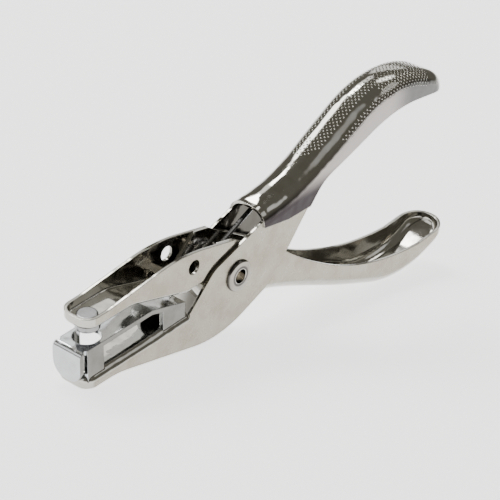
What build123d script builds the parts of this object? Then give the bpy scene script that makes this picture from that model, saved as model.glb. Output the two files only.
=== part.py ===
"""Plier-type single hole punch: two stamped levers on a hollow rivet, a die plate, a punch pin and a spring.

Side views are drawn in the jaw frame: x runs from the nose (minus) to the handles (plus), y is up and
square to the die plate, and the pivot is the origin. The punch stands on its nose and its lower handle,
so the jaw frame is tipped nose down by the stance angle. Sizes are millimetres.
"""
import os
from math import asin, atan2, cos, degrees, hypot, pi, radians, sin, sqrt, tan

from build123d import *

# Sheet, widths and lengths
SHEET = 0.8
CHEEK_WIDTH = 10.4
SIDE_CLEARANCE = 0.15
UPPER_JAW_WIDTH = 9.6
HANDLE_WIDTH = 12.2
JAW_LENGTH = 51.9
UPPER_HANDLE_LENGTH = 80.6
LOWER_HANDLE_LENGTH = 84.6
FLARE_START_X = 19.0
FLARE_LENGTH = 27.0
TIP_CORNER = 6.0

# Pivot rivet
BARREL_RADIUS = 3.0
RIVET_BORE_RADIUS = 1.9
FLANGE_RADIUS = 4.15
FLANGE_HEIGHT = 0.8
FLANGE_ROUND = 0.75
BORE_LIP_ROUND = 1.3
RUNNING_CLEARANCE = 0.05

# Outer lever, lower jaw and cheeks
NOSE_CORNER = 3.0
JAW_WEB_Z = -2.6
JAW_LEVEL_LENGTH = 20.0
JAW_SHOULDER = 2.4
JAW_BOTTOM_Z = -5.9
JAW_BOTTOM_LENGTH = 9.9
JAW_BOTTOM_ROUND = 25.0
THROAT = (-17.2, -2.4)
CHEEK_BEND = (-8.5, 5.5)
CHEEK_BEND_ROUND = 8.0
CHEEK_BELLY = (-6.7, -14.9)
CHEEK_BELLY_ROUND = 30.0
CHEEK_HEEL = (10.0, -8.8)

# Outer lever, upper handle
ARCH_X = 9.0
ARCH_TOP_Z = 13.7
ARCH_SIDE_Z = 10.8
ROOF_BEND_X = 21.2
ROOF_SLOPE = 26.0
ROOF_BEND_ROUND = 46.0
ROOF_CROWN_ROUND = 33.0
DROOP_LENGTH = 17.2
DROOP_HEIGHT = 14.0
HANDLE_SHOULDER = 4.2
HANDLE_CROTCH = (18.3, -1.3)
HANDLE_PROUD = 0.5
CREASE_FRONT_Z = 9.2
CREASE_MIDDLE = (18.0, 7.5)
CREASE_END_Z = 7.3
CREASE_LAP = 1.2
UPPER_RIM_BEND = (31.0, 12.6)
UPPER_RIM_BEND_ROUND = 12.0
UPPER_RIM_CREST_BACK = 4.9
UPPER_RIM_CREST_DROP = 13.1
UPPER_RIM_CREST_ROUND = 40.0
UPPER_TIP_WALL = 2.5

# Inner lever, upper jaw
UPPER_JAW_SETBACK = 1.2
UPPER_NOSE_CORNER = 3.6
UPPER_JAW_FLOOR_Z = 9.35
UPPER_JAW_FLOOR_LENGTH = 14.7
UPPER_JAW_FLOOR_ROUND = 14.0
UPPER_JAW_EDGE = 1.2
UPPER_NOSE_WALL = 2.9
UPPER_NOSE_LENGTH = 6.5
UPPER_NOSE_ROUND = 30.0
UPPER_JAW_CREST = (-19.0, 14.8)
UPPER_JAW_CREST_ROUND = 45.0
JOGGLE_LEAD = 1.5
JOGGLE_LAP = 1.2
WALL_HOLE = (-15.2, 9.7)
WALL_HOLE_RADIUS = 1.9

# Inner lever, cheeks and lower handle
INNER_CHEEK_TOP = (-1.0, 10.3)
INNER_THROAT = (-17.5, 3.4)
INNER_HEEL = (-6.5, -7.6)
INNER_HEEL_ROUND = 6.0
LOWER_HANDLE_START = (12.7, -12.0)
LOWER_HANDLE_START_ROUND = 40.0
LOWER_HANDLE_SLOPE = 24.0
BELLY_LENGTH = 17.0
BELLY_RISE = 9.0
BELLY_ROUND = 35.0
LOWER_TIP_WALL = 2.3
LOWER_RIM_START = (19.0, -3.0)
LOWER_RIM_DIVE = 42.0
LOWER_RIM_LIP_LENGTH = 13.0
LOWER_RIM_LIP_RISE = -0.6
LOWER_HANDLE_EDGE = 3.3

# Die plate
DIE_TOP_Z = 4.45
DIE_SHEET = 1.2
DIE_LEG_GAP = 0.05
DIE_FOLD_ROUND = 1.5
FLAP_BOTTOM_Z = -4.2
FLAP_CORNER = 4.0
LEG_SETBACK = 1.3
FRONT_LEG_LENGTH = 5.2
REAR_LEG_LENGTH = 7.7
RAMP_LENGTH = 11.2
RAMP_DROP = 3.4
RAMP_ROUND = 2.0
RAMP_THROAT_GAP = 0.6
LEG_FOOT = 1.0
SLOT_CLEARANCE = 0.1
SLOT_SIDE_CLEARANCE = 0.03
RELIEF_RADIUS = 0.6

# Punch pin
PIN_RADIUS = 3.0
PIN_SETBACK = 4.7
PIN_PAPER_GAP = 2.6
PIN_SHANK_RADIUS = 2.0
PIN_SHANK_CLEARANCE = 0.02
PIN_HEAD_RADIUS = 2.6
PIN_HEAD_HEIGHT = 0.6
PIN_HEAD_ROUND = 0.4
DIE_CLEARANCE = 0.4
CLOSING_ANGLE = 4.3

# Return spring
WIRE_RADIUS = 0.6
COIL_GAP = 0.3
COIL_TURNS = 2
COIL_PITCH = 2.0
COIL_STEP_GOAL = 85.0
UPPER_LEG_ANGLE = 22.5
UPPER_LEG_LENGTH = 25.4
LOWER_LEG_ANGLE = 23.5
LOWER_LEG_LENGTH = 28.0

# Reach of cutting shapes past the punch, least upward share of a web's normal, and the same place
REACH = 120.0
WEB_LEAN = 0.2
SAME = 0.01

# Places worked out from the sizes above
INNER_WIDTH = CHEEK_WIDTH - 2 * SHEET - 2 * SIDE_CLEARANCE
BORE_RADIUS = BARREL_RADIUS + RUNNING_CLEARANCE
DIE_WIDTH = CHEEK_WIDTH - 2 * SHEET - 2 * DIE_LEG_GAP
NOSE_X = -JAW_LENGTH
UPPER_NOSE_X = NOSE_X + UPPER_JAW_SETBACK
PIN_X = UPPER_NOSE_X + PIN_SETBACK
PIN_TIP_Z = DIE_TOP_Z + PIN_PAPER_GAP

ROOF_CROWN_X = UPPER_HANDLE_LENGTH - DROOP_LENGTH
ROOF_CROWN_Z = ARCH_TOP_Z + (ROOF_CROWN_X - ROOF_BEND_X) * tan(radians(ROOF_SLOPE))
ROOF_TIP_Z = ROOF_CROWN_Z - DROOP_HEIGHT
ROOF = [
    (ARCH_X, ARCH_TOP_Z),
    (ROOF_BEND_X, ARCH_TOP_Z),
    (ROOF_CROWN_X, ROOF_CROWN_Z),
    (UPPER_HANDLE_LENGTH, ROOF_TIP_Z),
]
ROOF_ROUNDS = [ROOF_BEND_ROUND, -ROOF_CROWN_ROUND]

BELLY_X = LOWER_HANDLE_LENGTH - BELLY_LENGTH
BELLY_Z = LOWER_HANDLE_START[1] - (BELLY_X - LOWER_HANDLE_START[0]) * tan(radians(LOWER_HANDLE_SLOPE))
LOWER_TIP = (LOWER_HANDLE_LENGTH, BELLY_Z + BELLY_RISE)
LOWER_FLOOR = [INNER_THROAT, INNER_HEEL, LOWER_HANDLE_START, (BELLY_X, BELLY_Z), LOWER_TIP]
LOWER_FLOOR_ROUNDS = [INNER_HEEL_ROUND, -LOWER_HANDLE_START_ROUND, BELLY_ROUND]

UPPER_JAW_FLOOR = [
    (UPPER_NOSE_X, UPPER_JAW_FLOOR_Z),
    (UPPER_NOSE_X + UPPER_JAW_FLOOR_LENGTH, UPPER_JAW_FLOOR_Z),
    INNER_THROAT,
]
UPPER_JAW_FLOOR_ROUNDS = [-UPPER_JAW_FLOOR_ROUND]


def stance_angle():
    """Tilt of the line that touches the nose's lower corner and the round of the lower handle's belly."""
    slope_in = -radians(LOWER_HANDLE_SLOPE)
    slope_out = atan2(BELLY_RISE, BELLY_LENGTH)
    setback = BELLY_ROUND * tan((slope_out - slope_in) / 2)
    centre_x = BELLY_X - setback * cos(slope_in) - BELLY_ROUND * sin(slope_in)
    centre_z = BELLY_Z - setback * sin(slope_in) + BELLY_ROUND * cos(slope_in)
    dx = centre_x - NOSE_X
    dz = centre_z - JAW_BOTTOM_Z
    return degrees(asin(BELLY_ROUND / hypot(dx, dz)) - atan2(dz, dx))


STANCE = radians(stance_angle())
ALONG = Vector(cos(STANCE), 0, sin(STANCE))
UP = Vector(-sin(STANCE), 0, cos(STANCE))
ACROSS = Vector(0, 1, 0)
SIDE = Plane(origin=(0, 0, 0), x_dir=ALONG, z_dir=-ACROSS)
PLAN = Plane(origin=(0, 0, 0), x_dir=ALONG, z_dir=UP)


def inset(points, rounds, amount):
    """A rounded polyline's points and rounds, moved to its left; a round that turns left is positive."""
    moved = []
    for i, (x, z) in enumerate(points):
        here = min(i, len(points) - 2)
        there = max(i - 1, 0)
        angle_in = atan2(points[there + 1][1] - points[there][1], points[there + 1][0] - points[there][0])
        angle_out = atan2(points[here + 1][1] - points[here][1], points[here + 1][0] - points[here][0])
        middle = (angle_in + angle_out) / 2
        reach = amount / cos((angle_out - angle_in) / 2)
        moved.append((x - reach * sin(middle), z + reach * cos(middle)))
    return moved, [abs(turn - amount) for turn in rounds]


def closed(x, z):
    """Where a point of the inner lever goes when the jaws are closed."""
    turn = radians(CLOSING_ANGLE)
    return x * cos(turn) - z * sin(turn), x * sin(turn) + z * cos(turn)


def rounded_bar(side_view, plan_view, edge_round, open_x, facing):
    """A bar with the given side and plan views, its edges rounded above (facing 1) or below (facing -1)."""
    with BuildPart() as bar:
        with BuildSketch(SIDE):
            add(side_view)
        extrude(amount=REACH, both=True)
        with BuildSketch(PLAN):
            add(plan_view)
        extrude(amount=REACH, both=True, mode=Mode.INTERSECT)
        webs = bar.faces().filter_by(lambda face: facing * face.normal_at().dot(UP) > WEB_LEAN)
        upright = bar.faces().filter_by(lambda face: abs(face.normal_at().dot(UP)) < SAME)
        walls = upright.filter_by(lambda face: abs(face.center().dot(ALONG) - open_x) > SAME)
        wall_edges = walls.edges()
        fillet(webs.edges().filter_by(lambda edge: edge in wall_edges), edge_round)
    return bar.part


def jaw_plan(nose_x, open_x, width, corner):
    """Plan of a jaw: straight sides and a nose with round corners."""
    half = width / 2
    with BuildSketch() as plan:
        with BuildLine():
            FilletPolyline((open_x, half), (nose_x, half), (nose_x, 0), radius=corner)
            mirror(about=Plane.XZ)
            Line((open_x, half), (open_x, -half))
        make_face()
    return plan.sketch


def handle_plan(open_x, tip_x, front_width, back_width, corner):
    """Plan of a handle: parallel cheeks that flare to the grip, and a tip with round corners."""
    front = front_width / 2
    back = back_width / 2
    flare_end_x = FLARE_START_X + FLARE_LENGTH
    flare_mid = (FLARE_START_X + FLARE_LENGTH / 2, (front + back) / 2)
    with BuildSketch() as plan:
        with BuildLine():
            Line((open_x, front), (FLARE_START_X, front))
            swell = TangentArc((FLARE_START_X, front), flare_mid, tangent=(1, 0))
            TangentArc(flare_mid, (flare_end_x, back), tangent=swell % 1)
            FilletPolyline((flare_end_x, back), (tip_x, back), (tip_x, 0), radius=corner)
            mirror(about=Plane.XZ)
            Line((open_x, front), (open_x, -front))
        make_face()
    return plan.sketch


def rounded(points, rounds):
    """A polyline with rounded corners; the sign of a round only says which way it turns."""
    return FilletPolyline(*points, radius=[abs(turn) for turn in rounds])


def plate_pair(view, width):
    """Two sheets of one side view, their outer faces width apart."""
    with BuildPart() as pair:
        with BuildSketch(SIDE.offset(width / 2 - SHEET), SIDE.offset(-width / 2)):
            add(view)
        extrude(amount=SHEET)
    return pair.part


# Outer lever outlines
CHEEK_FRONT = [THROAT, CHEEK_BEND, (ARCH_X, ARCH_SIDE_Z)]
LOWER_EDGE = [CHEEK_HEEL, CHEEK_BELLY, (NOSE_X + JAW_BOTTOM_LENGTH, JAW_BOTTOM_Z), (NOSE_X, JAW_BOTTOM_Z)]
LOWER_EDGE_ROUNDS = [CHEEK_BELLY_ROUND, JAW_BOTTOM_ROUND]
JAW_RISE_X = NOSE_X + JAW_LEVEL_LENGTH
CREASE_SHARE = (CREASE_END_Z - HANDLE_CROTCH[1]) / (UPPER_RIM_BEND[1] - HANDLE_CROTCH[1])
CREASE_END = (HANDLE_CROTCH[0] + CREASE_SHARE * (UPPER_RIM_BEND[0] - HANDLE_CROTCH[0]), CREASE_END_Z)
HANDLE_FRONT_WIDTH = CHEEK_WIDTH + 2 * HANDLE_PROUD
UPPER_RIM = [
    CREASE_END,
    UPPER_RIM_BEND,
    (ROOF_CROWN_X - UPPER_RIM_CREST_BACK, ROOF_CROWN_Z - UPPER_RIM_CREST_DROP),
    (UPPER_HANDLE_LENGTH, ROOF_TIP_Z - UPPER_TIP_WALL),
]
UPPER_RIM_ROUNDS = [UPPER_RIM_BEND_ROUND, UPPER_RIM_CREST_ROUND]

with BuildSketch() as cheek_view:
    with BuildLine():
        Line((NOSE_X, JAW_WEB_Z), (JAW_RISE_X, JAW_WEB_Z))
        TangentArc((JAW_RISE_X, JAW_WEB_Z), THROAT, tangent=(1, 0))
        rounded(CHEEK_FRONT, [CHEEK_BEND_ROUND])
        Polyline(
            (ARCH_X, ARCH_SIDE_Z), (CREASE_MIDDLE[0], CREASE_MIDDLE[1] + CREASE_LAP),
            (CREASE_END[0], CREASE_END[1] + CREASE_LAP), CREASE_END, HANDLE_CROTCH, CHEEK_HEEL,
        )
        rounded(LOWER_EDGE, LOWER_EDGE_ROUNDS)
        Line((NOSE_X, JAW_BOTTOM_Z), (NOSE_X, JAW_WEB_Z))
    make_face()

with BuildSketch() as jaw_skin_view:
    add(cheek_view.sketch)
    with Locations((NOSE_X, 0)):
        Rectangle(THROAT[0] - NOSE_X, REACH, align=(Align.MIN, Align.CENTER), mode=Mode.INTERSECT)

with BuildSketch() as jaw_core_view:
    with BuildLine():
        Line((NOSE_X, JAW_WEB_Z - SHEET), (JAW_RISE_X, JAW_WEB_Z - SHEET))
        TangentArc((JAW_RISE_X, JAW_WEB_Z - SHEET), (THROAT[0], THROAT[1] - SHEET), tangent=(1, 0))
        Polyline(
            (THROAT[0], THROAT[1] - SHEET), (THROAT[0], -REACH), (NOSE_X, -REACH),
            (NOSE_X, JAW_WEB_Z - SHEET),
        )
    make_face()

with BuildSketch() as handle_skin_view:
    with BuildLine():
        rounded(ROOF, ROOF_ROUNDS)
        Line(ROOF[-1], UPPER_RIM[-1])
        rounded(UPPER_RIM, UPPER_RIM_ROUNDS)
        Polyline(CREASE_END, CREASE_MIDDLE, (ARCH_X, CREASE_FRONT_Z), ROOF[0])
    make_face()

with BuildSketch() as handle_core_view:
    core_roof, core_roof_rounds = inset(ROOF, ROOF_ROUNDS, -SHEET)
    with BuildLine():
        rounded(core_roof, core_roof_rounds)
        Polyline(core_roof[-1], (core_roof[-1][0], -REACH), (core_roof[0][0], -REACH), core_roof[0])
    make_face()

# Die plate and punch places
LEG_OUT = DIE_WIDTH / 2
LEG_IN = LEG_OUT - DIE_SHEET
FRONT_LEG = (NOSE_X + LEG_SETBACK, NOSE_X + LEG_SETBACK + FRONT_LEG_LENGTH)
REAR_LEG = (THROAT[0] - RAMP_THROAT_GAP - REAR_LEG_LENGTH, THROAT[0] - RAMP_THROAT_GAP)
LEG_BOTTOM_Z = JAW_WEB_Z - SHEET - LEG_FOOT
DIE_HOLE_X = closed(PIN_X, PIN_TIP_Z)[0]

# Outer lever: upper handle, cheeks and lower jaw in one stamping
handle_skin = rounded_bar(
    handle_skin_view.sketch,
    handle_plan(ARCH_X, UPPER_HANDLE_LENGTH, HANDLE_FRONT_WIDTH, HANDLE_WIDTH, TIP_CORNER),
    HANDLE_SHOULDER, ARCH_X, 1,
)
handle_core = rounded_bar(
    handle_core_view.sketch,
    handle_plan(
        ARCH_X, UPPER_HANDLE_LENGTH - SHEET, HANDLE_FRONT_WIDTH - 2 * SHEET, HANDLE_WIDTH - 2 * SHEET,
        TIP_CORNER - SHEET,
    ),
    HANDLE_SHOULDER - SHEET, ARCH_X, 1,
)
jaw_skin = rounded_bar(
    jaw_skin_view.sketch, jaw_plan(NOSE_X, THROAT[0], CHEEK_WIDTH, NOSE_CORNER), JAW_SHOULDER, THROAT[0], 1
)
jaw_core = rounded_bar(
    jaw_core_view.sketch,
    jaw_plan(NOSE_X + SHEET, THROAT[0], CHEEK_WIDTH - 2 * SHEET, NOSE_CORNER - SHEET),
    JAW_SHOULDER - SHEET, THROAT[0], 1,
)
with BuildSketch() as cheek_only_view:
    add(cheek_view.sketch)
    with Locations((THROAT[0], 0)):
        Rectangle(REACH, REACH, align=(Align.MIN, Align.CENTER), mode=Mode.INTERSECT)

with BuildPart() as outer_lever:
    add(handle_skin)
    add(handle_core, mode=Mode.SUBTRACT)
    add(jaw_skin)
    add(jaw_core, mode=Mode.SUBTRACT)
    add(plate_pair(cheek_only_view.sketch, CHEEK_WIDTH))
    with BuildSketch(SIDE):
        Circle(BORE_RADIUS)
    extrude(amount=REACH, both=True, mode=Mode.SUBTRACT)
    for leg_start, leg_end in (FRONT_LEG, REAR_LEG):
        with BuildSketch(PLAN.offset(JAW_WEB_Z)):
            for side in (-1, 1):
                with Locations(((leg_start + leg_end) / 2, side * (LEG_IN + LEG_OUT) / 2)):
                    Rectangle(leg_end - leg_start + 2 * SLOT_CLEARANCE, DIE_SHEET + 2 * SLOT_SIDE_CLEARANCE)
        extrude(amount=JAW_SHOULDER, both=True, mode=Mode.SUBTRACT)
outer_lever.part.label = "outer_lever"

# Inner lever outlines
UPPER_NOSE_TOP_Z = UPPER_JAW_FLOOR_Z + UPPER_NOSE_WALL
UPPER_JAW_TOP = [
    (UPPER_NOSE_X, UPPER_NOSE_TOP_Z),
    (UPPER_NOSE_X + UPPER_NOSE_LENGTH, UPPER_NOSE_TOP_Z),
    UPPER_JAW_CREST,
    INNER_CHEEK_TOP,
]
UPPER_JAW_TOP_ROUNDS = [UPPER_NOSE_ROUND, UPPER_JAW_CREST_ROUND]
LOWER_RIM_TIP = (LOWER_TIP[0], LOWER_TIP[1] + LOWER_TIP_WALL)
LOWER_RIM_LIP = (LOWER_RIM_TIP[0] - LOWER_RIM_LIP_LENGTH, LOWER_RIM_TIP[1] + LOWER_RIM_LIP_RISE)
LAP = JOGGLE_LEAD + JOGGLE_LAP
FRONT_RUN = Vector(CHEEK_BEND[0] - THROAT[0], CHEEK_BEND[1] - THROAT[1]).normalized()
FRONT_START = Vector(*THROAT) + LAP * Vector(-FRONT_RUN.Y, FRONT_RUN.X)


def on_front(height):
    """The point at this height on the line where the inner cheeks begin, inside the upper jaw's walls."""
    reach = (height - FRONT_START.Y) / FRONT_RUN.Y
    return (FRONT_START.X + reach * FRONT_RUN.X, height)


with BuildSketch() as upper_jaw_skin_view:
    with BuildLine():
        rounded(UPPER_JAW_TOP, UPPER_JAW_TOP_ROUNDS)
        Polyline(INNER_CHEEK_TOP, (INNER_CHEEK_TOP[0], INNER_THROAT[1]), INNER_THROAT)
        rounded(UPPER_JAW_FLOOR, UPPER_JAW_FLOOR_ROUNDS)
        Line(UPPER_JAW_FLOOR[0], UPPER_JAW_TOP[0])
    make_face()

with BuildSketch() as upper_jaw_core_view:
    jaw_core_floor, jaw_core_rounds = inset(UPPER_JAW_FLOOR, UPPER_JAW_FLOOR_ROUNDS, SHEET)
    with BuildLine():
        rounded(jaw_core_floor, jaw_core_rounds)
        Polyline(
            jaw_core_floor[-1], (INNER_CHEEK_TOP[0], jaw_core_floor[-1][1]), (INNER_CHEEK_TOP[0], REACH),
            (jaw_core_floor[0][0], REACH), jaw_core_floor[0],
        )
    make_face()

with BuildSketch() as joggle_view:
    add(cheek_view.sketch)
    offset(amount=JOGGLE_LEAD)

with BuildSketch() as lower_skin_view:
    front_low = on_front(INNER_THROAT[1])
    front_high = on_front(INNER_CHEEK_TOP[1] + JOGGLE_LAP)
    with BuildLine():
        Polyline(front_low, front_high, INNER_CHEEK_TOP, LOWER_RIM_START)
        TangentArc(
            LOWER_RIM_START, LOWER_RIM_LIP,
            tangent=(cos(radians(LOWER_RIM_DIVE)), -sin(radians(LOWER_RIM_DIVE))),
        )
        Polyline(LOWER_RIM_LIP, LOWER_RIM_TIP, LOWER_TIP)
        rounded([front_low] + LOWER_FLOOR[1:], LOWER_FLOOR_ROUNDS)
    make_face()

with BuildSketch() as lower_core_view:
    core_floor, core_floor_rounds = inset([front_low] + LOWER_FLOOR[1:], LOWER_FLOOR_ROUNDS, SHEET)
    with BuildLine():
        rounded(core_floor, core_floor_rounds)
        Polyline(core_floor[-1], (core_floor[-1][0], REACH), (core_floor[0][0], REACH), core_floor[0])
    make_face()

# Inner lever: upper jaw, cheeks and lower handle in one stamping
upper_jaw_skin = rounded_bar(
    upper_jaw_skin_view.sketch,
    jaw_plan(UPPER_NOSE_X, INNER_CHEEK_TOP[0], UPPER_JAW_WIDTH, UPPER_NOSE_CORNER),
    UPPER_JAW_EDGE, INNER_CHEEK_TOP[0], -1,
)
upper_jaw_core = rounded_bar(
    upper_jaw_core_view.sketch,
    jaw_plan(
        UPPER_NOSE_X + SHEET, INNER_CHEEK_TOP[0], UPPER_JAW_WIDTH - 2 * SHEET, UPPER_NOSE_CORNER - SHEET
    ),
    UPPER_JAW_EDGE - SHEET, INNER_CHEEK_TOP[0], -1,
)
lower_skin = rounded_bar(
    lower_skin_view.sketch,
    handle_plan(-REACH, LOWER_HANDLE_LENGTH, INNER_WIDTH, HANDLE_WIDTH, TIP_CORNER),
    LOWER_HANDLE_EDGE, -REACH, -1,
)
lower_core = rounded_bar(
    lower_core_view.sketch,
    handle_plan(
        -REACH, LOWER_HANDLE_LENGTH - SHEET, INNER_WIDTH - 2 * SHEET, HANDLE_WIDTH - 2 * SHEET,
        TIP_CORNER - SHEET,
    ),
    LOWER_HANDLE_EDGE - SHEET, core_floor[0][0], -1,
)
with BuildPart() as inner_lever:
    add(upper_jaw_skin)
    add(upper_jaw_core, mode=Mode.SUBTRACT)
    with BuildSketch(SIDE):
        add(joggle_view.sketch)
    extrude(amount=REACH, both=True, mode=Mode.SUBTRACT)
    add(lower_skin)
    add(lower_core, mode=Mode.SUBTRACT)
    with BuildSketch(SIDE):
        Circle(BORE_RADIUS)
        with Locations(WALL_HOLE):
            Circle(WALL_HOLE_RADIUS)
    extrude(amount=REACH, both=True, mode=Mode.SUBTRACT)
    with BuildSketch(PLAN):
        with Locations((PIN_X, 0)):
            Circle(PIN_SHANK_RADIUS + PIN_SHANK_CLEARANCE)
    extrude(amount=REACH, mode=Mode.SUBTRACT)
inner_lever.part.label = "inner_lever"

# Die plate: one folded strip with a flap, four legs and the die hole
DIE_FRONT_X = NOSE_X - DIE_SHEET
RAMP_START_X = REAR_LEG[1] - RAMP_LENGTH
RAMP_END = (REAR_LEG[1], DIE_TOP_Z - RAMP_DROP)
STRIP = [(DIE_FRONT_X, FLAP_BOTTOM_Z), (DIE_FRONT_X, DIE_TOP_Z), (RAMP_START_X, DIE_TOP_Z), RAMP_END]
STRIP_ROUNDS = [-DIE_FOLD_ROUND, -RAMP_ROUND]
RELIEF_X = NOSE_X + LEG_SETBACK / 2


def leg_top(x):
    """Half a sheet below the top of the die plate, level and then down the ramp."""
    return DIE_TOP_Z - DIE_SHEET / 2 - RAMP_DROP * max(x - RAMP_START_X, 0) / RAMP_LENGTH


with BuildPart() as die_plate:
    with BuildSketch(SIDE):
        under_strip, under_rounds = inset(STRIP, STRIP_ROUNDS, -DIE_SHEET)
        with BuildLine():
            rounded(STRIP, STRIP_ROUNDS)
            Line(STRIP[-1], under_strip[-1])
            rounded(under_strip, under_rounds)
            Line(under_strip[0], STRIP[0])
        make_face()
    extrude(amount=DIE_WIDTH / 2, both=True)
    flap_edges = die_plate.edges().filter_by(lambda edge: abs(edge.center().dot(UP) - FLAP_BOTTOM_Z) < SAME)
    fillet(flap_edges.filter_by(lambda edge: abs(edge.center().Y) > DIE_WIDTH / 4), FLAP_CORNER)
    for leg_start, leg_end in (FRONT_LEG, REAR_LEG):
        with BuildSketch(SIDE.offset(LEG_IN), SIDE.offset(-LEG_OUT)):
            with BuildLine():
                Polyline(
                    (leg_start, LEG_BOTTOM_Z), (leg_end, LEG_BOTTOM_Z), (leg_end, leg_top(leg_end)),
                    (leg_start, leg_top(leg_start)), close=True,
                )
            make_face()
        extrude(amount=DIE_SHEET)
    with BuildSketch(PLAN):
        with Locations((DIE_HOLE_X, 0)):
            Circle(PIN_RADIUS + DIE_CLEARANCE)
        with Locations((RELIEF_X, LEG_OUT), (RELIEF_X, -LEG_OUT)):
            Circle(RELIEF_RADIUS)
    extrude(amount=REACH, mode=Mode.SUBTRACT)
die_plate.part.label = "die_plate"

# Punch pin: a plunger with a shank through the upper jaw's floor and a riveted head
FLOOR_TOP_Z = UPPER_JAW_FLOOR_Z + SHEET
with BuildPart() as punch_pin:
    for bottom_z, top_z, radius in (
        (PIN_TIP_Z, UPPER_JAW_FLOOR_Z, PIN_RADIUS),
        (UPPER_JAW_FLOOR_Z, FLOOR_TOP_Z, PIN_SHANK_RADIUS),
        (FLOOR_TOP_Z, FLOOR_TOP_Z + PIN_HEAD_HEIGHT, PIN_HEAD_RADIUS),
    ):
        with BuildSketch(PLAN.offset(bottom_z)):
            with Locations((PIN_X, 0)):
                Circle(radius)
        extrude(amount=top_z - bottom_z)
    fillet(punch_pin.edges().sort_by(lambda edge: edge.center().dot(UP))[-1], PIN_HEAD_ROUND)
punch_pin.part.label = "punch_pin"

# Pivot rivet: a hollow barrel with a rolled flange against each cheek
FLANGE_Y = CHEEK_WIDTH / 2
RIVET_END_Y = FLANGE_Y + FLANGE_HEIGHT
with BuildPart() as pivot_rivet:
    with BuildSketch(Plane.XY) as rivet_profile:
        with BuildLine():
            Polyline(
                (RIVET_BORE_RADIUS, -RIVET_END_Y), (FLANGE_RADIUS, -RIVET_END_Y), (FLANGE_RADIUS, -FLANGE_Y),
                (BARREL_RADIUS, -FLANGE_Y), (BARREL_RADIUS, FLANGE_Y), (FLANGE_RADIUS, FLANGE_Y),
                (FLANGE_RADIUS, RIVET_END_Y), (RIVET_BORE_RADIUS, RIVET_END_Y), close=True,
            )
        make_face()
        rims = rivet_profile.vertices().filter_by(lambda corner: abs(corner.Y) > RIVET_END_Y - SAME)
        fillet(rims.filter_by(lambda corner: corner.X > BARREL_RADIUS), FLANGE_ROUND)
        fillet(rims.filter_by(lambda corner: corner.X < BARREL_RADIUS), BORE_LIP_ROUND)
    revolve(axis=Axis.Y)
pivot_rivet.part.label = "pivot_rivet"

# Return spring: a wire coil round the barrel with one leg under each handle
COIL_RADIUS = BARREL_RADIUS + COIL_GAP + WIRE_RADIUS
COIL_START = radians(-90 - LOWER_LEG_ANGLE)
COIL_SWEEP = radians(360 * COIL_TURNS + 180 - LOWER_LEG_ANGLE - UPPER_LEG_ANGLE)
COIL_STEPS = round(COIL_SWEEP / radians(COIL_STEP_GOAL))
COIL_STEP = COIL_SWEEP / COIL_STEPS
STEP_RISE = COIL_PITCH * COIL_STEP / (2 * pi)


def coil_place(step):
    """Point and heading of the wire at this step of the coil; its two ends are level."""
    angle = COIL_START - step * COIL_STEP
    rise = STEP_RISE * min(max(step - 0.5, 0), COIL_STEPS - 1) - STEP_RISE * (COIL_STEPS - 1) / 2
    climb = 0 if step in (0, COIL_STEPS) else STEP_RISE / COIL_STEP
    point = COIL_RADIUS * cos(angle) * ALONG + rise * ACROSS + COIL_RADIUS * sin(angle) * UP
    heading = COIL_RADIUS * (sin(angle) * ALONG - cos(angle) * UP) + climb * ACROSS
    return point, heading.normalized()


def biarc_joint(start, heading, end, end_heading):
    """Where two arcs meet that leave start and reach end along the given headings, and the heading there."""
    chord = end - start
    along = chord.dot(heading + end_heading)
    spread = 2 * (1 - heading.dot(end_heading))
    reach = (sqrt(along * along + spread * chord.dot(chord)) - along) / spread
    first = start + reach * heading
    second = end - reach * end_heading
    return (first + second) / 2, (second - first).normalized()


coil_start, start_heading = coil_place(0)
coil_end, end_heading = coil_place(COIL_STEPS)
LOWER_LEG_TIP = coil_start - LOWER_LEG_LENGTH * start_heading
UPPER_LEG_TIP = coil_end + UPPER_LEG_LENGTH * end_heading

with BuildPart() as return_spring:
    with BuildLine() as wire:
        Line(LOWER_LEG_TIP, coil_start)
        for step in range(COIL_STEPS):
            here, heading = coil_place(step)
            there, next_heading = coil_place(step + 1)
            middle, middle_heading = biarc_joint(here, heading, there, next_heading)
            TangentArc(here, middle, tangent=heading)
            TangentArc(middle, there, tangent=middle_heading)
        Line(coil_end, UPPER_LEG_TIP)
    with BuildSketch(Plane(origin=LOWER_LEG_TIP, z_dir=start_heading)):
        Circle(WIRE_RADIUS)
    sweep(path=wire.wires()[0])
return_spring.part.label = "return_spring"

# The least gap between two stretches of the wire more than half a turn apart along it
SPRING_SAMPLES = 600
wire_path = wire.wires()[0]
wire_points = [wire_path @ (i / SPRING_SAMPLES) for i in range(SPRING_SAMPLES + 1)]
apart = int(pi * COIL_RADIUS / wire_path.length * SPRING_SAMPLES)
spring_gap = min(
    (wire_points[i] - wire_points[j]).length - 2 * WIRE_RADIUS
    for i in range(SPRING_SAMPLES + 1)
    for j in range(i + apart, SPRING_SAMPLES + 1)
)
print("least gap of the spring wire to itself", round(spring_gap, 2))

os.makedirs("parts", exist_ok=True)
export_step(outer_lever.part, "parts/outer_lever.step")
export_step(inner_lever.part, "parts/inner_lever.step")
export_step(die_plate.part, "parts/die_plate.step")
export_step(punch_pin.part, "parts/punch_pin.step")
export_step(pivot_rivet.part, "parts/pivot_rivet.step")
export_step(return_spring.part, "parts/return_spring.step")
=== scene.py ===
"""Looks of the plier-type hole punch: plated metals, rounded and knurled grip, spring wire and studio."""
import math

import bpy
import numpy as np
from mathutils import Matrix, Vector
from mathutils.bvhtree import BVHTree


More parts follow.
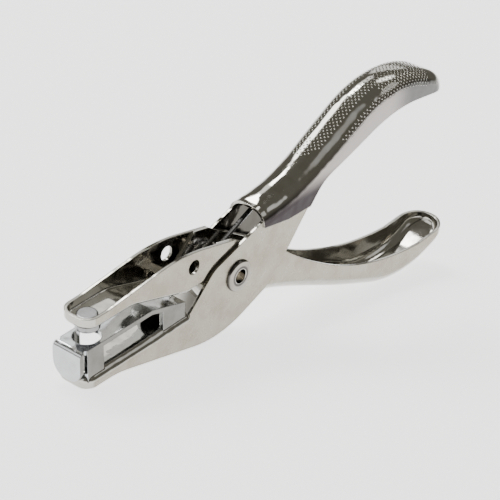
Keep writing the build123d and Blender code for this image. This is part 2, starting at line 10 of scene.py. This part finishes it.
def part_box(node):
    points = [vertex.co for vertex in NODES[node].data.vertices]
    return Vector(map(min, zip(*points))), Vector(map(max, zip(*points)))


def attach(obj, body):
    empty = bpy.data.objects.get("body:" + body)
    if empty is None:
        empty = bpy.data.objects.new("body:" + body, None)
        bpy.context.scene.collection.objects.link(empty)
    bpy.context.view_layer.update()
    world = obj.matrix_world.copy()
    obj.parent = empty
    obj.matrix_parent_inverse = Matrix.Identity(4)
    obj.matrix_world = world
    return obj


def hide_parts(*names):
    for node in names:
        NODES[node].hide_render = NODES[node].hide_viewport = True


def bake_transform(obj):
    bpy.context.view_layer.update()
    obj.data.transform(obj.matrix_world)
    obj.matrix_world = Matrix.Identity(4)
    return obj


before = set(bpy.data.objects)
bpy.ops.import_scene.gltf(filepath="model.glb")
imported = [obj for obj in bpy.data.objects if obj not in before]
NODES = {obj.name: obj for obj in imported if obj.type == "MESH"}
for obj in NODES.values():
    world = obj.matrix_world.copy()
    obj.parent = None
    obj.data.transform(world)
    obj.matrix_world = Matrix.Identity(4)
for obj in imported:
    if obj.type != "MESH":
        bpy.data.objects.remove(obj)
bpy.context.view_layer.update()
MM = 0.001

# The jaw frame of the side drawing, tipped nose down in the row frame
STANCE = math.radians(13.13755)
ALONG = Vector((math.cos(STANCE), 0, math.sin(STANCE)))
ACROSS = Vector((0, 1, 0))
UP = Vector((-math.sin(STANCE), 0, math.cos(STANCE)))
FLOOR_Z = min(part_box(n)[0].z for n in NODES)


def place(x, y, z):
    """A point of the jaw frame, in millimetres, as a point of the row frame in metres."""
    return (ALONG * x + ACROSS * y + UP * z) * MM


def turn(v):
    """A direction of the jaw frame in the row frame."""
    return ALONG * v[0] + ACROSS * v[1] + UP * v[2]


# Camera, from the fit of the punch to the photograph: angles in the jaw frame, and how many millimetres
# the pivot is to the right of the camera's axis, above it and ahead of the camera
FOCAL_PX = 2400
IMAGE_PX = 500
SENSOR_MM = 36
CLIP = (0.01, 50)
AZIMUTH = math.radians(-49.19)
ELEVATION = math.radians(33.66)
ROLL = math.radians(0.56)
PIVOT_IN_CAMERA = (-6.704, -4.086, 577.74)


def make_camera():
    """The photograph's camera."""
    right = Vector((math.cos(AZIMUTH), math.sin(AZIMUTH), 0))
    back = Vector((
        math.sin(AZIMUTH) * math.cos(ELEVATION),
        -math.cos(AZIMUTH) * math.cos(ELEVATION),
        math.sin(ELEVATION),
    ))
    up = back.cross(right)
    rolled_right = math.cos(ROLL) * right + math.sin(ROLL) * up
    rolled_up = math.cos(ROLL) * up - math.sin(ROLL) * right
    tx, ty, depth = PIVOT_IN_CAMERA
    spot = back * depth - rolled_right * tx - rolled_up * ty
    data = bpy.data.cameras.new("camera")
    data.sensor_width = SENSOR_MM
    data.lens = FOCAL_PX * SENSOR_MM / IMAGE_PX
    data.clip_start, data.clip_end = CLIP
    camera = bpy.data.objects.new("camera", data)
    axes = [turn(v) for v in (rolled_right, rolled_up, back)]
    matrix = Matrix(axes).transposed().to_4x4()
    matrix.translation = place(*spot)
    camera.matrix_world = matrix
    bpy.context.scene.collection.objects.link(camera)
    bpy.context.scene.camera = camera


make_camera()


class Nodes:
    """Short ways to add and join shader nodes."""

    def __init__(self, tree):
        self.tree = tree

    def add(self, kind, **settings):
        node = self.tree.nodes.new(kind)
        for key, value in settings.items():
            setattr(node, key, value)
        return node

    def link(self, a, b):
        self.tree.links.new(a, b)

    def feed(self, socket, value):
        """Set a socket to a number, or join an output to it."""
        if isinstance(value, (int, float)):
            socket.default_value = value
        else:
            self.link(value, socket)

    def math(self, operation, a, b=None):
        node = self.add("ShaderNodeMath", operation=operation)
        self.feed(node.inputs[0], a)
        if b is not None:
            self.feed(node.inputs[1], b)
        return node.outputs[0]

    def ramp(self, value, low, high, out_low, out_high, smooth=True):
        node = self.add("ShaderNodeMapRange", interpolation_type="SMOOTHSTEP" if smooth else "LINEAR")
        for socket, number in zip(node.inputs, (value, low, high, out_low, out_high)):
            self.feed(socket, number)
        return node.outputs[0]

    def noise(self, vector, scale, detail, roughness):
        node = self.add("ShaderNodeTexNoise")
        node.inputs["Scale"].default_value = scale
        node.inputs["Detail"].default_value = detail
        node.inputs["Roughness"].default_value = roughness
        self.link(vector, node.inputs["Vector"])
        return node.outputs["Fac"]

    def mix(self, factor, a, b):
        node = self.add("ShaderNodeMix", data_type="RGBA")
        self.link(factor, node.inputs[0])
        for i, value in ((6, a), (7, b)):
            if isinstance(value, tuple):
                node.inputs[i].default_value = (*value, 1)
            else:
                self.link(value, node.inputs[i])
        return node.outputs[2]

    def split(self, vector):
        node = self.add("ShaderNodeSeparateXYZ")
        self.link(vector, node.inputs[0])
        return list(node.outputs)

    def bump(self, height, strength, depth, normal):
        node = self.add("ShaderNodeBump")
        node.inputs["Strength"].default_value = strength
        node.inputs["Distance"].default_value = depth
        self.link(height, node.inputs["Height"])
        self.link(normal, node.inputs["Normal"])
        return node.outputs["Normal"]


# Surface of a plated metal: noises by scale per millimetre, detail and roughness, and the part in use
PATCH_NOISE = (0.16, 4, 0.6)
PATCH_RANGE = (0.38, 0.68)
CLOUD_NOISE = (0.5, 5, 0.65)
CLOUD_RANGE = (0.3, 0.7)
WAVE_NOISE = (0.26, 1, 0.4)
WAVE_DEPTH = 0.25 * MM
GRAIN_NOISE = (9, 2, 0.5)
GRAIN_DEPTH = 0.02 * MM
EDGE_RADIUS = 0.30 * MM
EDGE_SAMPLES = 6
SATIN_SPREAD = 0.05

# Ranges of a normal's part outwards, sideways or upwards over which one kind of face passes into another
FLAT_OUTWARD = (0.93, 0.99)
WALL_OUTWARD = (0.75, 0.99)
INSIDE_OUTWARD = (-0.9, -0.4)
INSIDE_UPWARD = (-0.7, -0.3)
RIM_SIDEWAYS = (0.15, 0.4)

# Upper handle's crease and tip, where painted shade darkens the walls, in millimetres of the jaw frame
CREASE_X = (8.9, 18.0)
CREASE_Z = (9.2, 7.45)
CREASE_BLEND = (-0.1, 0.1)
CREASE_SHADE = (3.0, 8.0)
CREASE_SHADE_TONE = (0.034, 0.028, 0.03)
TIP_X = (55.0, 66.0)
TIP_SHADE_TONE = (0.11, 0.11, 0.107)

# Where the painted shade inside the upper handle begins, in millimetres of the row frame
INSIDE_X = (-12.0, -4.0)


def rim_shade_colour(n, colour, rim, x, y, look_y):
    """The colour with painted shade on the sheared edges of the walls."""
    half_inside, rear, tone = rim
    outside = n.math("GREATER_THAN", n.math("ABSOLUTE", y), half_inside * MM)
    front = n.math("LESS_THAN", x, rear * MM)
    edge_on = n.ramp(n.math("ABSOLUTE", look_y), *RIM_SIDEWAYS, 1, 0)
    return n.mix(n.math("MULTIPLY", edge_on, n.math("MULTIPLY", outside, front)), colour, tone)


def jaw_measure(n, axis, x, z):
    """A point's measure along an axis of the jaw frame, in millimetres."""
    return n.math("ADD", n.math("MULTIPLY", x, axis.x / MM), n.math("MULTIPLY", z, axis.z / MM))


def handle_wall(n, grip, x, z):
    """Where the upper handle's skin is, and the tone of its walls, with painted shade darkening them towards
    the crease and the tip.
    """
    along = jaw_measure(n, ALONG, x, z)
    crease = n.ramp(along, *CREASE_X, *CREASE_Z, smooth=False)
    above = n.math("SUBTRACT", jaw_measure(n, UP, x, z), crease)
    behind = n.math("GREATER_THAN", along, CREASE_X[0])
    handle = n.math("MULTIPLY", n.ramp(above, *CREASE_BLEND, 0, 1), behind)
    tone = n.mix(n.ramp(above, *CREASE_SHADE, 0, 1), CREASE_SHADE_TONE, grip)
    return handle, n.mix(n.ramp(along, *TIP_X, 0, 1), tone, TIP_SHADE_TONE)


def painted_ring_colour(n, colour, rings, x, z):
    """The colour with painted rings of shade and light round the pivot axis."""
    flat = n.add("ShaderNodeCombineXYZ")
    n.link(x, flat.inputs["X"])
    n.link(z, flat.inputs["Z"])
    radius = n.add("ShaderNodeVectorMath", operation="LENGTH")
    n.link(flat.outputs[0], radius.inputs[0])
    for end, full, tone in rings:
        colour = n.mix(n.ramp(radius.outputs["Value"], end * MM, full * MM, 0, 1), colour, tone)
    return colour


def metal(
    name, base, stain, rough, rough_spread, stretch=(1, 1, 1), grain=0.0, waviness=0.1,
    satin=None, inside=None, grip=None, rim=None, rings=None,
):
    """A plated metal: two tones in soft patches, uneven gloss, waves, a fine grain and softened edges.

    satin is (roughness, base, stain), for flat faces that look outwards from the middle plane. inside, grip
    and rim need it. inside is the tone of painted shade on faces in the upper handle that look down or
    towards the middle plane. grip is the tone of the upper handle's walls above the crease, painted darker
    as shade and darkened further towards the crease and the tip. rim is half the width between the walls,
    how far back their sheared edges get painted shade, and the tone of that shade. rings are painted rings
    of shade and light round the pivot axis, each with the distances where it ends and where it is full.
    """
    material = bpy.data.materials.new(name)
    material.use_nodes = True
    n = Nodes(material.node_tree)
    shader = n.tree.nodes["Principled BSDF"]
    shader.inputs["Metallic"].default_value = 1.0
    where = n.add("ShaderNodeTexCoord").outputs["Object"]
    x, y, z = n.split(where)
    scaled = n.add("ShaderNodeMapping")
    scaled.inputs["Scale"].default_value = tuple(s / MM for s in stretch)
    n.link(where, scaled.inputs["Vector"])
    spot = scaled.outputs["Vector"]
    patches = n.ramp(n.noise(spot, *PATCH_NOISE), *PATCH_RANGE, 0, 1)
    cloud = n.noise(spot, *CLOUD_NOISE)
    colour = n.mix(patches, base, stain)
    roughness = n.ramp(cloud, *CLOUD_RANGE, rough - rough_spread, rough + rough_spread)
    if satin:
        _, look_y, look_z = n.split(n.add("ShaderNodeNewGeometry").outputs["Normal"])
        outward = n.math("MULTIPLY", look_y, n.math("SIGN", y))
        flat = n.ramp(outward, *FLAT_OUTWARD, 0, 1)
        # Painted shade on the walls' sheared edges
        if rim:
            colour = rim_shade_colour(n, colour, rim, x, y, look_y)
        # Painted shade on the upper handle's walls, darker towards the crease and the tip
        if grip:
            handle, tone = handle_wall(n, grip, x, z)
            flat = n.math("MULTIPLY", flat, n.math("SUBTRACT", 1.0, handle))
            wall = n.math("MULTIPLY", n.ramp(outward, *WALL_OUTWARD, 0, 1), handle)
            colour = n.mix(wall, colour, tone)
        satin_rough, satin_base, satin_stain = satin
        colour = n.mix(flat, colour, n.mix(patches, satin_base, satin_stain))
        gloss = n.ramp(cloud, *CLOUD_RANGE, satin_rough - SATIN_SPREAD, satin_rough + SATIN_SPREAD)
        roughness = n.ramp(flat, 0, 1, roughness, gloss, smooth=False)
        # Painted shade on faces in the upper handle that look down or towards the middle plane
        if inside:
            inward = n.ramp(outward, *INSIDE_OUTWARD, 1, 0)
            down = n.ramp(look_z, *INSIDE_UPWARD, 1, 0)
            behind = n.ramp(x, *(limit * MM for limit in INSIDE_X), 0, 1)
            inside_shade_mask = n.math("MULTIPLY", n.math("MAXIMUM", inward, down), behind)
            colour = n.mix(inside_shade_mask, colour, inside)
    # Painted rings of shade and light round the rivet's axis
    if rings:
        colour = painted_ring_colour(n, colour, rings, x, z)
    n.link(colour, shader.inputs["Base Color"])
    n.link(roughness, shader.inputs["Roughness"])
    edge = n.add("ShaderNodeBevel", samples=EDGE_SAMPLES)
    edge.inputs["Radius"].default_value = EDGE_RADIUS
    wavy = n.bump(n.noise(spot, *WAVE_NOISE), waviness, WAVE_DEPTH, edge.outputs["Normal"])
    n.link(n.bump(n.noise(spot, *GRAIN_NOISE), grain, GRAIN_DEPTH, wavy), shader.inputs["Normal"])
    return material


# Tones, each with the tone of its stains where it has them
MIRROR, MIRROR_STAIN = (0.43, 0.42, 0.385), (0.38, 0.365, 0.325)
SATIN, SATIN_STAIN = (0.335, 0.312, 0.262), (0.285, 0.258, 0.205)
DIE, DIE_STAIN = (0.46, 0.47, 0.48), (0.41, 0.42, 0.43)
# Painted shade: a darker copy of the die's tone for its sideways faces
DIE_SIDE_SHADE, DIE_SIDE_SHADE_STAIN = (0.19, 0.185, 0.17), (0.15, 0.145, 0.13)
CUTTER, CUTTER_STAIN = (0.28, 0.28, 0.28), (0.22, 0.22, 0.22)
CUTTER_STRETCH = (1, 1, 4)
RIVET, RIVET_STAIN = (0.31, 0.29, 0.26), (0.25, 0.23, 0.205)
WIRE, WIRE_STAIN = (0.52, 0.52, 0.53), (0.42, 0.42, 0.43)
# Painted shade on the sheared edges of the walls
RIM_SHADE = (0.26, 0.25, 0.22)
# Painted shade: a darker tone for the outward walls of the upper handle, on the same mirror metal
GRIP_WALL_SHADE = (0.32, 0.295, 0.28)
# Painted shade inside the upper handle
INSIDE_SHADE = (0.075, 0.07, 0.06)

# Rims: half the width between the walls and the rear end, in millimetres, and the tone of the painted shade
# on their sheared edges
OUTER_RIM = (4.38, 6.3, RIM_SHADE)
INNER_RIM = (3.98, 0.0, RIM_SHADE)

# Painted rings of the rivet, in millimetres from its axis: painted shade at the flange's edge and at the
# bore's lip, and painted light in the bore
RIVET_PAINTED_RINGS = [
    (3.75, 4.05, (0.07, 0.065, 0.06)),
    (2.85, 2.45, (0.08, 0.075, 0.07)),
    (2.05, 1.95, (0.62, 0.60, 0.56)),
]

outer_metal = metal(
    "nickel_outer", MIRROR, MIRROR_STAIN, rough=0.09, rough_spread=0.03, grain=0.05, waviness=0.7,
    satin=(0.30, SATIN, SATIN_STAIN), inside=INSIDE_SHADE, grip=GRIP_WALL_SHADE, rim=OUTER_RIM,
)
inner_metal = metal(
    "nickel_inner", MIRROR, MIRROR_STAIN, rough=0.10, rough_spread=0.03, grain=0.05, waviness=0.3,
    satin=(0.30, SATIN, SATIN_STAIN), rim=INNER_RIM,
)
# The die plate's flat sideways faces get painted shade through the satin tone
die_metal = metal(
    "die_steel", DIE, DIE_STAIN, rough=0.12, rough_spread=0.04, grain=0.08, waviness=0.6,
    satin=(0.22, DIE_SIDE_SHADE, DIE_SIDE_SHADE_STAIN),
)
cutter_metal = metal(
    "cutter_steel", CUTTER, CUTTER_STAIN, rough=0.17, rough_spread=0.05, stretch=CUTTER_STRETCH, grain=0.12
)
rivet_metal = metal(
    "rivet_nickel", RIVET, RIVET_STAIN, rough=0.08, rough_spread=0.03, grain=0.08, rings=RIVET_PAINTED_RINGS
)
wire_metal = metal("spring_wire", WIRE, WIRE_STAIN, rough=0.24, rough_spread=0.06, grain=0.1)
for node, material in (
    ("outer_lever", outer_metal), ("inner_lever", inner_metal), ("die_plate", die_metal),
    ("punch_pin", cutter_metal), ("pivot_rivet", rivet_metal), ("return_spring", wire_metal),
):
    for entry in NODES[node].material_slots:
        entry.material = material


def mesh_object(name, vertices, faces, material, smooth=0):
    """A new mesh object, with so many of its first faces smooth."""
    mesh = bpy.data.meshes.new(name)
    mesh.from_pydata([tuple(v) for v in vertices], [], faces)
    mesh.materials.append(material)
    for polygon in list(mesh.polygons)[:smooth]:
        polygon.use_smooth = True
    mesh.update()
    made = bpy.data.objects.new(name, mesh)
    bpy.context.scene.collection.objects.link(made)
    return made


# Return spring, in millimetres of the jaw frame
WIRE_RADIUS = 0.6
WIRE_SIDES = 14
WIRE_DOME = [(-1.0, 0.0), (-0.85, 0.53), (-0.5, 0.87)]
WIRE_TIP = 1e-4
COIL_RADIUS = 3.9
COIL_START = math.radians(-113.5)
COIL_SWEEP = math.radians(854)
COIL_RISE = 4.27
COIL_EASE = 0.06
COIL_POINTS = 220
LOWER_LEG = 28.0
UPPER_LEG = 25.4
LEG_JOIN = 0.6
LEG_POINTS = 24


def spring_path():
    """Points along the wire, from the lower leg's tip to the upper leg's tip."""
    turns = np.linspace(0, 1, COIL_POINTS)
    climb = np.where(turns < COIL_EASE, turns**2 / (2 * COIL_EASE), turns - COIL_EASE / 2)
    climb = np.where(turns > 1 - COIL_EASE, 1 - COIL_EASE - (1 - turns)**2 / (2 * COIL_EASE), climb)
    climb = climb / (1 - COIL_EASE) - 0.5
    angle = COIL_START - COIL_SWEEP * turns
    coil = np.stack([COIL_RADIUS * np.cos(angle), COIL_RISE * climb, COIL_RADIUS * np.sin(angle)], 1)
    inward = np.array([math.sin(COIL_START), 0, -math.cos(COIL_START)])
    end = COIL_START - COIL_SWEEP
    outward = np.array([math.sin(end), 0, -math.cos(end)])
    lower = coil[0] - np.linspace(LOWER_LEG, LEG_JOIN, LEG_POINTS)[:, None] * inward
    upper = coil[-1] + np.linspace(LEG_JOIN, UPPER_LEG, LEG_POINTS)[:, None] * outward
    return np.vstack([lower, coil, upper])


def tube(name, path, radius, sides, material):
    """A round wire along a path, with domed ends."""
    tangents = np.gradient(path, axis=0)
    tangents /= np.linalg.norm(tangents, axis=1)[:, None]
    first, last = tangents[0], tangents[-1]
    stations = [(path[0] + first * radius * a, first, radius * b) for a, b in WIRE_DOME]
    stations += [(p, t, radius) for p, t in zip(path, tangents)]
    stations += [(path[-1] - last * radius * a, last, radius * b) for a, b in reversed(WIRE_DOME)]
    turns = (np.arange(sides) * 2 * math.pi / sides)[:, None]
    normal = np.array([0.0, 1.0, 0.0])
    rings = []
    for point, tangent, size in stations:
        normal = normal - tangent * (normal @ tangent)
        normal /= np.linalg.norm(normal)
        other = np.cross(tangent, normal)
        rings.append(point + max(size, WIRE_TIP) * (np.cos(turns) * normal + np.sin(turns) * other))
    vertices = [place(*v) for ring in rings for v in ring]
    faces = []
    for i in range(len(rings) - 1):
        for j in range(sides):
            k = (j + 1) % sides
            faces.append((i * sides + j, i * sides + k, (i + 1) * sides + k, (i + 1) * sides + j))
    faces.append(tuple(reversed(range(sides))))
    faces.append(tuple(range((len(rings) - 1) * sides, len(rings) * sides)))
    return mesh_object(name, vertices, faces, material, smooth=len(faces))


spring = tube("spring_wire_coil", spring_path(), WIRE_RADIUS, WIRE_SIDES, wire_metal)
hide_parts("return_spring")
# The wire passes from one body to the other within 3.5 mm above and below the pivot axis
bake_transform(spring)

# Crown of the upper handle, an arc where the CAD has a flat between two rounds, in millimetres
CROWN_ROUND = 4.2
CROWN_JOIN = math.radians(45)
CROWN_X = (9.6, 76.0)
CROWN_RAMPS = (5.0, 24.0)
CROWN_STEPS = 150
CROWN_ARC_STEPS = 30
CROWN_SIDE_STEPS = 10
CROWN_LIFT = 0.08
CROWN_LIFT_RATE = 4
CROWN_SINK = 0.05
CROWN_DEPTH = 0.3
WALL_PROBE = 4.3
PROBE = 60.0
SMOOTHING = np.hanning(13)[1:-1]


def smooth(values):
    """Values along the handle without the steps of the mesh's facets."""
    reach = len(SMOOTHING) // 2
    padded = np.pad(values, reach, mode="reflect", reflect_type="odd")
    return np.convolve(padded, SMOOTHING / SMOOTHING.sum(), "valid")


def ease(x):
    """A soft step from 0 to 1."""
    x = np.clip(x, 0, 1)
    return x * x * (3 - 2 * x)


def search(thing):
    """A ray target of an object's mesh."""
    shape = [thing.matrix_world @ v.co for v in thing.data.vertices]
    return BVHTree.FromPolygons(shape, [tuple(p.vertices) for p in thing.data.polygons])


def crown_profile(half, rise, lift):
    """Across and height of the outer and the inner skin, from the near wall over to the far wall."""
    flat = half - CROWN_ROUND
    arc = CROWN_ROUND + flat / math.sin(CROWN_JOIN)
    level = math.pi / 2
    sides = np.linspace(level, CROWN_JOIN, CROWN_SIDE_STEPS, endpoint=False)
    bends = np.concatenate([-sides, np.linspace(-CROWN_JOIN, CROWN_JOIN, CROWN_ARC_STEPS), sides[::-1]])
    side = np.abs(bends) > CROWN_JOIN
    across = np.where(side, np.sign(bends) * flat + CROWN_ROUND * np.sin(bends), arc * np.sin(bends))
    beyond = np.clip((np.abs(across) - flat) / CROWN_ROUND, 0, 1)
    cad = -CROWN_ROUND * (1 - np.sqrt(1 - beyond**2))
    top = (arc - CROWN_ROUND) * (1 - math.cos(CROWN_JOIN))
    bulge = np.where(side, 0, top - arc * (1 - np.cos(bends)) - cad)
    height = cad + rise * bulge
    fade = np.clip((level - np.abs(bends)) / (level - CROWN_JOIN), 0, 1)
    out = -CROWN_SINK + (CROWN_LIFT + CROWN_SINK) * np.minimum(fade, lift)
    outer = (across + out * np.sin(bends), height + out * np.cos(bends))
    inner = (across - CROWN_DEPTH * np.sin(bends), cad - CROWN_DEPTH * np.cos(bends))
    return outer, inner


def crown_layers():
    """Points of the crown's outer and inner skin, station by station along the handle."""
    target = search(NODES["outer_lever"])
    stations = np.linspace(*CROWN_X, CROWN_STEPS)
    points = np.array([target.ray_cast(place(x, 0, PROBE), -UP)[0] for x in stations])
    points = np.stack([smooth(c) for c in points.T], 1)
    slopes = np.gradient(points, axis=0)
    normals = [Vector((-s[2], 0, s[0])).normalized() for s in slopes]
    halves = smooth(np.array([
        target.ray_cast(Vector(p) - n * WALL_PROBE * MM - ACROSS * PROBE * MM, ACROSS)[0].y
        for p, n in zip(points, normals)
    ])) / -MM
    start, end = CROWN_X
    rises = ease((stations - start) / CROWN_RAMPS[0]) * ease((end - stations) / CROWN_RAMPS[1])
    layers = ([], [])
    for point, normal, half, rise in zip(points, normals, halves, rises):
        profiles = crown_profile(half, rise, min(CROWN_LIFT_RATE * rise, 1))
        for layer, (across, height) in zip(layers, profiles):
            layer.append([Vector(point) + (ACROSS * a + normal * h) * MM for a, h in zip(across, height)])
    return layers


def crown():
    """The rounded crown, a thin closed shell let into the sheet of the upper handle."""
    layers = crown_layers()
    rows = len(layers[0])
    columns = len(layers[0][0])
    vertices = [v for layer in layers for ring in layer for v in ring]

    def at(layer, row, column):
        return (layer * rows + row) * columns + column

    skins = []
    rims = []
    for r in range(rows - 1):
        for c in range(columns - 1):
            skins.append((at(0, r, c), at(0, r + 1, c), at(0, r + 1, c + 1), at(0, r, c + 1)))
            skins.append((at(1, r, c), at(1, r, c + 1), at(1, r + 1, c + 1), at(1, r + 1, c)))
        last = columns - 1
        rims.append((at(0, r, 0), at(1, r, 0), at(1, r + 1, 0), at(0, r + 1, 0)))
        rims.append((at(0, r, last), at(0, r + 1, last), at(1, r + 1, last), at(1, r, last)))
    for c in range(columns - 1):
        last = rows - 1
        rims.append((at(0, 0, c), at(0, 0, c + 1), at(1, 0, c + 1), at(1, 0, c)))
        rims.append((at(0, last, c), at(1, last, c), at(1, last, c + 1), at(0, last, c + 1)))
    made = mesh_object("grip_crown", vertices, skins + rims, outer_metal, smooth=len(skins))
    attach(made, "outer_body")
    return made


# Knurl of the upper handle: rows along it and columns round it, in millimetres of its skin
KNURL_START_X = 29.0
KNURL_END_X = 73.5
KNURL_STEP = 0.65
KNURL_HALF = 0.40
KNURL_HEIGHT = 0.21
KNURL_SINK = 0.04
KNURL_FAR = 3.6
KNURL_NEAR = 0.8
KNURL_NEAR_MOST = 7.2
KNURL_NEAR_SPREAD = 0.55
KNURL_BARE = (-5.6, -3.2)
KNURL_BARE_END_X = 54.0
KNURL_STRIPE = (0.3, 2.1)
KNURL_STRIPE_X = (34.0, 58.0)
KNURL_FLAT = 1.9
KNURL_ARC = CROWN_ROUND + KNURL_FLAT / math.sin(CROWN_JOIN)


def left_smooth(x, across):
    """Whether a place on the crown is in the smooth band or the smooth stripe of the knurl."""
    band = KNURL_BARE[0] < across < KNURL_BARE[1] and x < KNURL_BARE_END_X
    stripe = KNURL_STRIPE[0] < across < KNURL_STRIPE[1] and KNURL_STRIPE_X[0] < x < KNURL_STRIPE_X[1]
    return band or stripe


def knurl(skin):
    """Small four-sided pyramids in a diamond pattern on the crown of the upper handle."""
    target = search(skin)
    reach = KNURL_HALF * MM
    vertices = []
    faces = []
    x = KNURL_START_X
    row = 0
    while x < KNURL_END_X:
        top, upward, _, _ = target.ray_cast(place(x, 0, PROBE), -UP)
        near = min(KNURL_NEAR + KNURL_NEAR_SPREAD * row * KNURL_STEP, KNURL_NEAR_MOST)
        for column in range(-int(near / KNURL_STEP), int(KNURL_FAR / KNURL_STEP) + 1):
            across = column * KNURL_STEP
            if (row + column) % 2 or left_smooth(x, across):
                continue
            side = math.copysign(1, across)
            bend = abs(across) / KNURL_ARC
            middle = top - upward * KNURL_ARC * MM
            if bend > CROWN_JOIN:
                bend = CROWN_JOIN + (abs(across) - KNURL_ARC * CROWN_JOIN) / CROWN_ROUND
                middle += (upward + ACROSS * side) * KNURL_FLAT * MM
            outward = upward * math.cos(bend) + ACROSS * side * math.sin(bend)
            foot, normal, _, _ = target.ray_cast(middle + outward * 2 * KNURL_ARC * MM, -outward)
            along = ACROSS.cross(normal).normalized()
            around = normal.cross(along)
            base = foot - normal * KNURL_SINK * MM
            first = len(vertices)
            vertices += [base + way * reach for way in (along, around, -along, -around)]
            vertices.append(foot + normal * KNURL_HEIGHT * MM)
            faces += [(first + i, first + (i + 1) % 4, first + 4) for i in range(4)]
            faces.append((first + 3, first + 2, first + 1, first))
        x += KNURL_STEP * upward.dot(UP)
        row += 1
    grip = mesh_object("grip_knurl", vertices, faces, outer_metal)
    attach(grip, "outer_body")


knurl(crown())

# Floor
FLOOR_SIZE = 6.0
FLOOR_NOISE = (3, 2, 0.5)
FLOOR_TONES = ((0.93, 0.93, 0.93), (0.90, 0.90, 0.90))
FLOOR_ROUGHNESS = 0.9
FLOOR_GLOW = 2.1


def make_floor():
    """A pale floor with a trace of unevenness."""
    half = FLOOR_SIZE / 2
    material = bpy.data.materials.new("floor")
    material.use_nodes = True
    n = Nodes(material.node_tree)
    shader = n.tree.nodes["Principled BSDF"]
    where = n.add("ShaderNodeTexCoord").outputs["Object"]
    tone = n.mix(n.noise(where, *FLOOR_NOISE), *FLOOR_TONES)
    n.link(tone, shader.inputs["Base Color"])
    n.link(tone, shader.inputs["Emission Color"])
    shader.inputs["Roughness"].default_value = FLOOR_ROUGHNESS
    shader.inputs["Emission Strength"].default_value = FLOOR_GLOW
    corners = [(x * half, y * half, FLOOR_Z) for x, y in ((-1, -1), (1, -1), (1, 1), (-1, 1))]
    floor = mesh_object("floor", corners, [(0, 1, 2, 3)], material)


make_floor()

# Room: light lobes by direction, cosines where the lobe ends and where it is full, and strength
LOBES = [
    ((0.35, 0.56, 0.75), 0.984, 0.994, 2.2),
    ((0.72, 0.56, 0.42), 0.975, 0.988, 1.6),
    ((0.49, -0.55, 0.67), 0.975, 0.990, 0.9),
    ((-0.68, 0.54, 0.49), 0.965, 0.985, 1.8),
    ((-0.95, 0.2, 0.25), 0.93, 0.97, 1.2),
    ((-0.094, 0.766, 0.636), 0.974, 0.990, 8.0),
    ((0.50, 0.06, 0.86), 0.985, 0.995, 5.0),
    ((-0.36, 0.93, 0.07), 0.93, 0.98, 2.5),
    ((-0.24, -0.53, 0.81), 0.965, 0.995, 0.5),
]
SKY = 0.20
SKY_TINT = (1.0, 0.96, 0.83)
LAMP = 0.5
LAMP_TINT = (1.0, 1.0, 0.99)
HORIZON = 1.6
HORIZON_Z = (0.02, 0.17)


def make_world():
    """A dim warm room with a bright horizon and a few soft boxes, the same for every camera."""
    world = bpy.data.worlds.new("studio")
    world.use_nodes = True
    n = Nodes(world.node_tree)
    where = n.add("ShaderNodeTexCoord").outputs["Generated"]
    light = n.ramp(n.split(where)[2], *HORIZON_Z, HORIZON, SKY)
    for direction, low, high, strength in LOBES:
        dot = n.add("ShaderNodeVectorMath", operation="DOT_PRODUCT")
        n.link(where, dot.inputs[0])
        dot.inputs[1].default_value = Vector(direction).normalized()
        light = n.math("ADD", light, n.ramp(dot.outputs["Value"], low, high, 0, strength))
    background = world.node_tree.nodes["Background"]
    n.link(light, background.inputs["Strength"])
    n.link(n.mix(n.ramp(light, SKY, LAMP, 0, 1), SKY_TINT, LAMP_TINT), background.inputs["Color"])
    bpy.context.scene.world = world


make_world()

# Key light, aimed at the pivot
KEY_SPOT = Vector((0.16, 0.58, 0.84))
KEY_SIZE = 0.22
KEY_POWER = 3


def make_key():
    """A square soft box."""
    data = bpy.data.lights.new("key", "AREA")
    data.shape = "SQUARE"
    data.size = KEY_SIZE
    data.energy = KEY_POWER
    light = bpy.data.objects.new("key", data)
    light.location = KEY_SPOT
    light.rotation_euler = (-KEY_SPOT).to_track_quat("-Z", "Y").to_euler()
    bpy.context.scene.collection.objects.link(light)


make_key()
